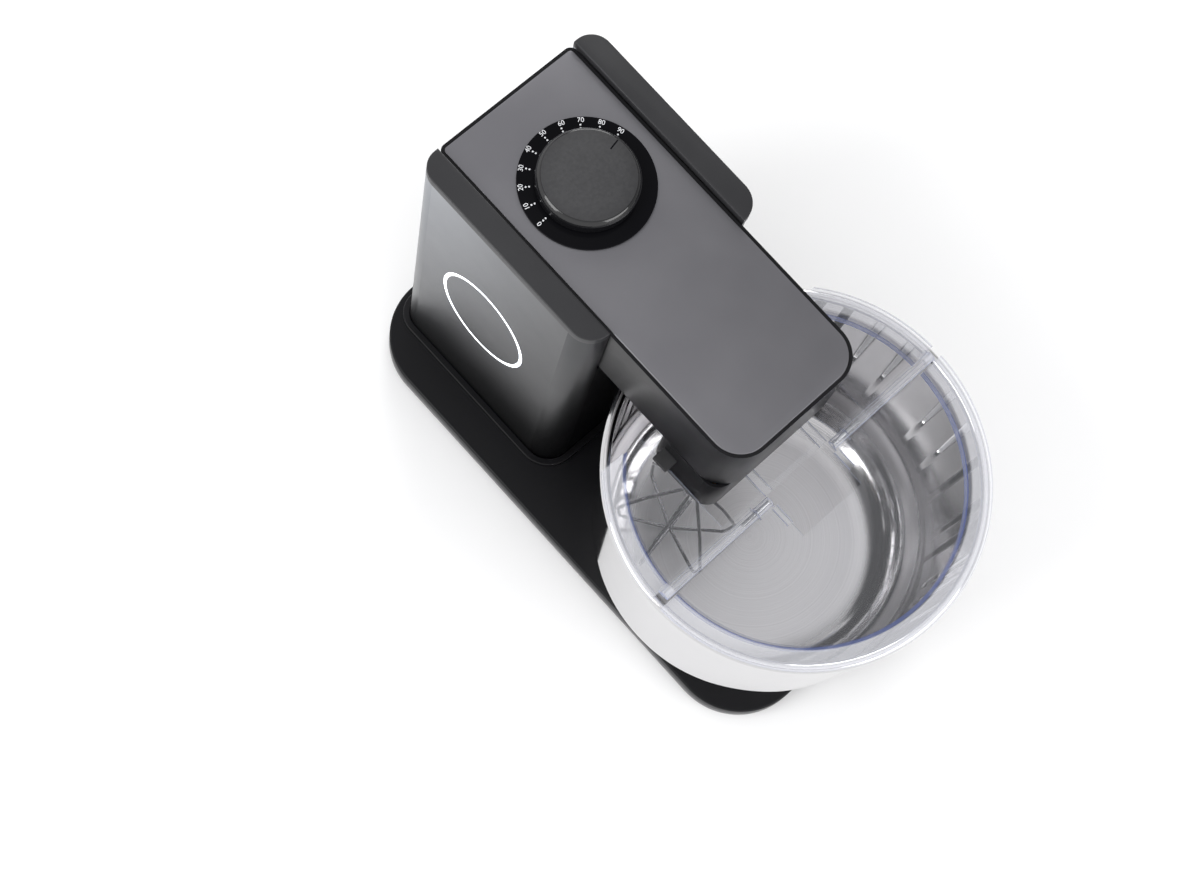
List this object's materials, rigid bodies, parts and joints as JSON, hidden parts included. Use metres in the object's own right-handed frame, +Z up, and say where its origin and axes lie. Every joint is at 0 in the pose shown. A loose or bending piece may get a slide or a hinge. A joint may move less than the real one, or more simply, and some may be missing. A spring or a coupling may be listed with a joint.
{
  "type": "tilt-head stand mixer",
  "caption": "Kitchen stand mixer with a turning steel bowl, a tilting head carrying a driven whisk, a hinged clear splash guard and a top dial.",
  "frame": {"origin": "middle of the overall length and width, on the surface that the feet stand on", "axes": "+Z up, -Y towards the bowl end, +Y towards the column end, +X to the right seen from the bowl end"},
  "size_m": [0.25, 0.419, 0.3051],
  "materials": {
    "body_black": "satin",
    "body_grey": "satin metallic, darker towards the foot",
    "panel_grey": "satin metallic",
    "steel": "turned or drawn",
    "polished_steel": "mirror polished outside, spun inside",
    "clear": "clear moulded plastic",
    "gloss_black": "gloss",
    "black_plastic": "matt",
    "rubber": "matt",
    "bearing_bronze": "turned",
    "gear_plastic": "moulded",
    "board": "solder mask",
    "light": "lit diffuser",
    "cast": "die cast"
  },
  "bodies": {
    "stand": {"base_cover": "body_black", "base_plate": "steel", "rubber_feet": "rubber", "plate_screws": "steel", "column_plinth": "body_black", "column_shell": "body_grey", "cheek_cap_left": "body_black", "cheek_cap_right": "body_black", "badge_plate": "body_grey", "badge_light_ring": "light", "rest_pads": "rubber", "hinge_pin": "steel", "balance_spring": "steel", "power_inlet": "black_plastic", "vent_grille": "black_plastic", "power_board": "board", "bowl_motor": "steel", "turntable_bearing": "bearing_bronze", "drive_belt": "rubber"},
    "bowl_motor_rotor": {"bowl_motor_shaft": "steel", "small_pulley": "gear_plastic"},
    "turntable": {"turntable": "black_plastic", "large_pulley": "gear_plastic"},
    "bowl": {"bowl": "polished_steel", "bowl_foot_ring": "steel"},
    "head": {"head_shell": "body_black", "head_panel": "panel_grey", "gearbox_cover": "body_black", "gearbox_plate": "cast", "gear_axles": "steel", "hinge_bushes": "bearing_bronze", "panel_screws": "steel", "head_motor": "steel", "spindle_bush": "bearing_bronze", "control_board": "board", "speed_sensor": "black_plastic", "dial_ring": "gloss_black", "guard_rear": "clear", "guard_clips": "black_plastic", "guard_hinge_pins": "steel"},
    "head_motor_rotor": {"motor_shaft": "steel", "motor_pinion": "bearing_bronze", "cooling_fan": "black_plastic"},
    "first_gear": {"first_gear": "gear_plastic"},
    "second_gear": {"second_gear": "steel"},
    "spindle": {"spindle": "steel", "spindle_gear": "steel"},
    "whisk": {"whisk_shank": "polished_steel", "whisk_wires": "polished_steel"},
    "speed_knob": {"speed_knob": "gloss_black", "knob_shaft": "steel"},
    "guard_flap": {"guard_flap": "clear"},
    "head_lock": {"lock_knob": "black_plastic", "lock_bolt": "steel"}
  },
  "joints": [
    {"name": "head_tilt", "type": "hinge", "parent": "stand", "child": "head", "pos_m": [0, 0.1645, 0.25473], "axis": [-1, 0, 0], "range_deg": [0, 40]},
    {"name": "turntable_turn", "type": "hinge", "parent": "stand", "child": "turntable", "pos_m": [0, -0.0845, 0.025], "axis": [0, 0, 1], "continuous": true},
    {"name": "bowl_motor_turn", "type": "hinge", "parent": "stand", "child": "bowl_motor_rotor", "pos_m": [0, 0.118, 0.045], "axis": [0, 0, 1], "continuous": true},
    {"name": "bowl_twist", "type": "hinge", "parent": "turntable", "child": "bowl", "pos_m": [0, -0.0845, 0.026], "axis": [0, 0, 1], "range_deg": [0, 40]},
    {"name": "spindle_turn", "type": "hinge", "parent": "head", "child": "spindle", "pos_m": [-0.041, -0.0435, 0.2], "axis": [0, 0, 1], "continuous": true},
    {"name": "second_gear_turn", "type": "hinge", "parent": "head", "child": "second_gear", "pos_m": [-0.02496, -0.03533, 0.245], "axis": [0, 0, 1], "continuous": true},
    {"name": "first_gear_turn", "type": "hinge", "parent": "head", "child": "first_gear", "pos_m": [-0.00699, -0.00765, 0.24], "axis": [0, 0, 1], "continuous": true},
    {"name": "head_motor_turn", "type": "hinge", "parent": "head", "child": "head_motor_rotor", "pos_m": [-0.00128, 0.03295, 0.25], "axis": [0, 0, 1], "continuous": true},
    {"name": "whisk_twist", "type": "hinge", "parent": "spindle", "child": "whisk", "pos_m": [-0.041, -0.0435, 0.185], "axis": [0, 0, 1], "range_deg": [0, 40]},
    {"name": "speed_knob_turn", "type": "hinge", "parent": "head", "child": "speed_knob", "pos_m": [0, 0.1265, 0.295], "axis": [0, 0, 1], "range_deg": [0, 171]},
    {"name": "guard_flap_lift", "type": "hinge", "parent": "head", "child": "guard_flap", "pos_m": [0, -0.085, 0.2136], "axis": [-1, 0, 0], "range_deg": [0, 95]},
    {"name": "lock_slide", "type": "slide", "parent": "stand", "child": "head_lock", "axis": [-1, 0, 0], "range_m": [0, 0.005]}
  ],
  "couplings": [
    {"joint": "bowl_motor_turn", "follows": "turntable_turn", "ratio": 4},
    {"joint": "second_gear_turn", "follows": "spindle_turn", "ratio": -1},
    {"joint": "first_gear_turn", "follows": "spindle_turn", "ratio": 2.6667},
    {"joint": "head_motor_turn", "follows": "spindle_turn", "ratio": -15.556}
  ]
}
